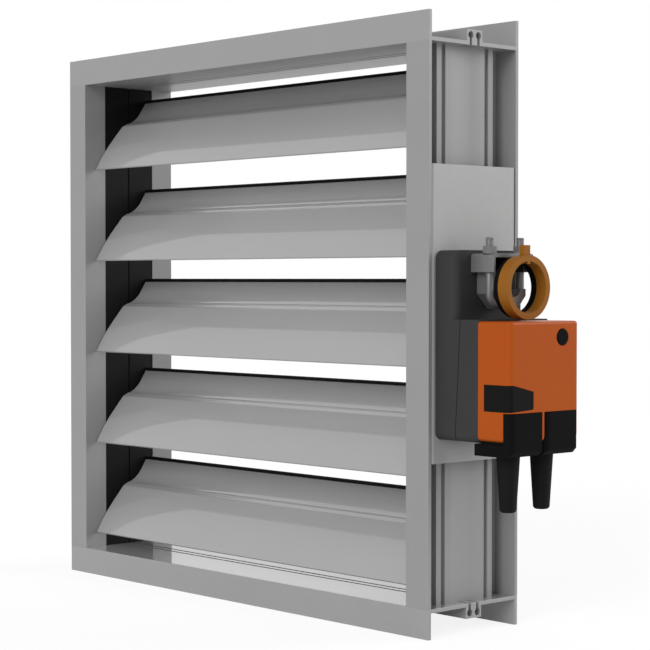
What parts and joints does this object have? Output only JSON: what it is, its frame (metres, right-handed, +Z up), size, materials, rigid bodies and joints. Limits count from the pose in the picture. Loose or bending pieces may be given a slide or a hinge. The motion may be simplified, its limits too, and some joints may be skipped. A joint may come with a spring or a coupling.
{
  "type": "motorized damper",
  "caption": "Square louvre air damper with parallel tilting blades in a flanged duct frame, driven by a side mounted electric actuator with a shaft clamp.",
  "frame": {"origin": "middle of the bottom edge of the front flange face", "axes": "X across the duct towards the actuator, Y with the air from the front flange to the back one, Z up"},
  "size_m": [0.4592, 0.084, 0.4],
  "materials": {
    "frame_aluminium": "mill-finish extruded aluminium",
    "blade_aluminium": "smooth extruded aluminium",
    "zinc_steel": "zinc plated steel",
    "bracket_steel": "galvanised sheet, matt",
    "black_plastic": "matt moulded plastic",
    "housing_plastic": "fine textured moulded plastic",
    "orange_plastic": "satin moulded plastic",
    "ring_plastic": "satin moulded plastic",
    "window_plastic": "smooth dark panel",
    "seal_rubber": "extruded seal strip",
    "bush_plastic": "moulded bearing",
    "gear_plastic": "moulded gear",
    "board_green": "laminate board",
    "brass_insert": "turned brass"
  },
  "bodies": {
    "frame": {"top_rail": "frame_aluminium", "bottom_rail": "frame_aluminium", "left_post": "frame_aluminium", "right_post": "frame_aluminium", "frame_screws": "zinc_steel", "left_bearing_strip": "black_plastic", "right_bearing_strip": "black_plastic", "axle_bushes": "bush_plastic", "shaft_bush": "bush_plastic", "mounting_bracket": "bracket_steel", "bracket_screws": "zinc_steel", "actuator_screws": "zinc_steel", "actuator_base": "housing_plastic", "actuator_shell": "housing_plastic", "actuator_cover": "orange_plastic", "window_panel": "window_plastic", "terminal_plug_1": "black_plastic", "terminal_plug_2": "black_plastic", "cable_boots": "seal_rubber", "circuit_board": "board_green", "gear_plate": "zinc_steel", "gear_spindles": "zinc_steel", "motor": "zinc_steel"},
    "drive": {"drive_shaft": "zinc_steel", "drive_crank": "zinc_steel", "output_hub": "housing_plastic", "output_gear": "gear_plastic", "clamp_body": "zinc_steel", "clamp_u_bolt": "zinc_steel", "clamp_nuts": "zinc_steel", "clamp_jaw": "zinc_steel", "ring_carrier": "black_plastic", "position_ring": "ring_plastic"},
    "push_rod": {"drive_rod": "zinc_steel"},
    "button": {"release_button": "black_plastic"},
    "first_gear": {"stage_gear_1": "gear_plastic"},
    "second_gear": {"stage_gear_2": "gear_plastic"},
    "motor_gear": {"motor_pinion": "brass_insert"},
    "blade_1": {"blade_1": "blade_aluminium", "blade_seal_1": "seal_rubber", "blade_axle_1": "zinc_steel", "blade_crank_1": "zinc_steel"},
    "blade_2": {"blade_2": "blade_aluminium", "blade_seal_2": "seal_rubber", "blade_axle_2": "zinc_steel", "blade_crank_2": "zinc_steel"},
    "blade_3": {"blade_3": "blade_aluminium", "blade_seal_3": "seal_rubber", "blade_axle_3": "zinc_steel", "blade_crank_3": "zinc_steel"},
    "blade_4": {"blade_4": "blade_aluminium", "blade_seal_4": "seal_rubber", "blade_axle_4": "zinc_steel", "blade_crank_4": "zinc_steel"},
    "blade_5": {"blade_5": "blade_aluminium", "blade_seal_5": "seal_rubber", "blade_axle_5": "zinc_steel", "blade_crank_5": "zinc_steel"}
  },
  "joints": [
    {"name": "drive_turn", "type": "hinge", "parent": "frame", "child": "drive", "pos_m": [0.1975, 0.0385, 0.2245], "axis": [1, 0, 0], "range_deg": [-48, 38]},
    {"name": "blade_1_turn", "type": "hinge", "parent": "frame", "child": "blade_1", "pos_m": [0, 0.0385, 0.0622], "axis": [1, 0, 0], "range_deg": [-48, 38]},
    {"name": "blade_2_turn", "type": "hinge", "parent": "frame", "child": "blade_2", "pos_m": [0, 0.0385, 0.13325], "axis": [1, 0, 0], "range_deg": [-48, 38]},
    {"name": "blade_3_turn", "type": "hinge", "parent": "frame", "child": "blade_3", "pos_m": [0, 0.0385, 0.2043], "axis": [1, 0, 0], "range_deg": [-48, 38]},
    {"name": "blade_4_turn", "type": "hinge", "parent": "frame", "child": "blade_4", "pos_m": [0, 0.0385, 0.27535], "axis": [1, 0, 0], "range_deg": [-48, 38]},
    {"name": "blade_5_turn", "type": "hinge", "parent": "frame", "child": "blade_5", "pos_m": [0, 0.0385, 0.3464], "axis": [1, 0, 0], "range_deg": [-48, 38]},
    {"name": "rod_swing", "type": "hinge", "parent": "drive", "child": "push_rod", "pos_m": [0.182, 0.05444, 0.22589], "axis": [1, 0, 0], "range_deg": [-38, 48]},
    {"name": "first_gear_spin", "type": "hinge", "parent": "frame", "child": "first_gear", "pos_m": [0.2025, 0.0385, 0.1985], "axis": [1, 0, 0], "range_deg": [-127.17, 160.5]},
    {"name": "second_gear_spin", "type": "hinge", "parent": "frame", "child": "second_gear", "pos_m": [0.2025, 0.03051, 0.18282], "axis": [1, 0, 0], "range_deg": [-427.17, 338.28]},
    {"name": "motor_spin", "type": "hinge", "parent": "frame", "child": "motor_gear", "pos_m": [0.2025, 0.03931, 0.16758], "axis": [1, 0, 0], "range_deg": [-901.24, 1138.28]},
    {"name": "button_press", "type": "slide", "parent": "frame", "child": "button", "axis": [-1, 0, 0], "range_m": [0, 0.0025], "stiffness_N_per_m": 300, "springref_m": -0.001}
  ],
  "couplings": [
    {"joint": "blade_1_turn", "follows": "drive_turn", "ratio": 1},
    {"joint": "blade_2_turn", "follows": "drive_turn", "ratio": 1},
    {"joint": "blade_3_turn", "follows": "drive_turn", "ratio": 1},
    {"joint": "blade_4_turn", "follows": "drive_turn", "ratio": 1},
    {"joint": "blade_5_turn", "follows": "drive_turn", "ratio": 1},
    {"joint": "rod_swing", "follows": "drive_turn", "ratio": -1},
    {"joint": "first_gear_spin", "follows": "drive_turn", "ratio": -3.3333},
    {"joint": "second_gear_spin", "follows": "drive_turn", "ratio": 8.8889},
    {"joint": "motor_spin", "follows": "drive_turn", "ratio": -23.704}
  ]
}
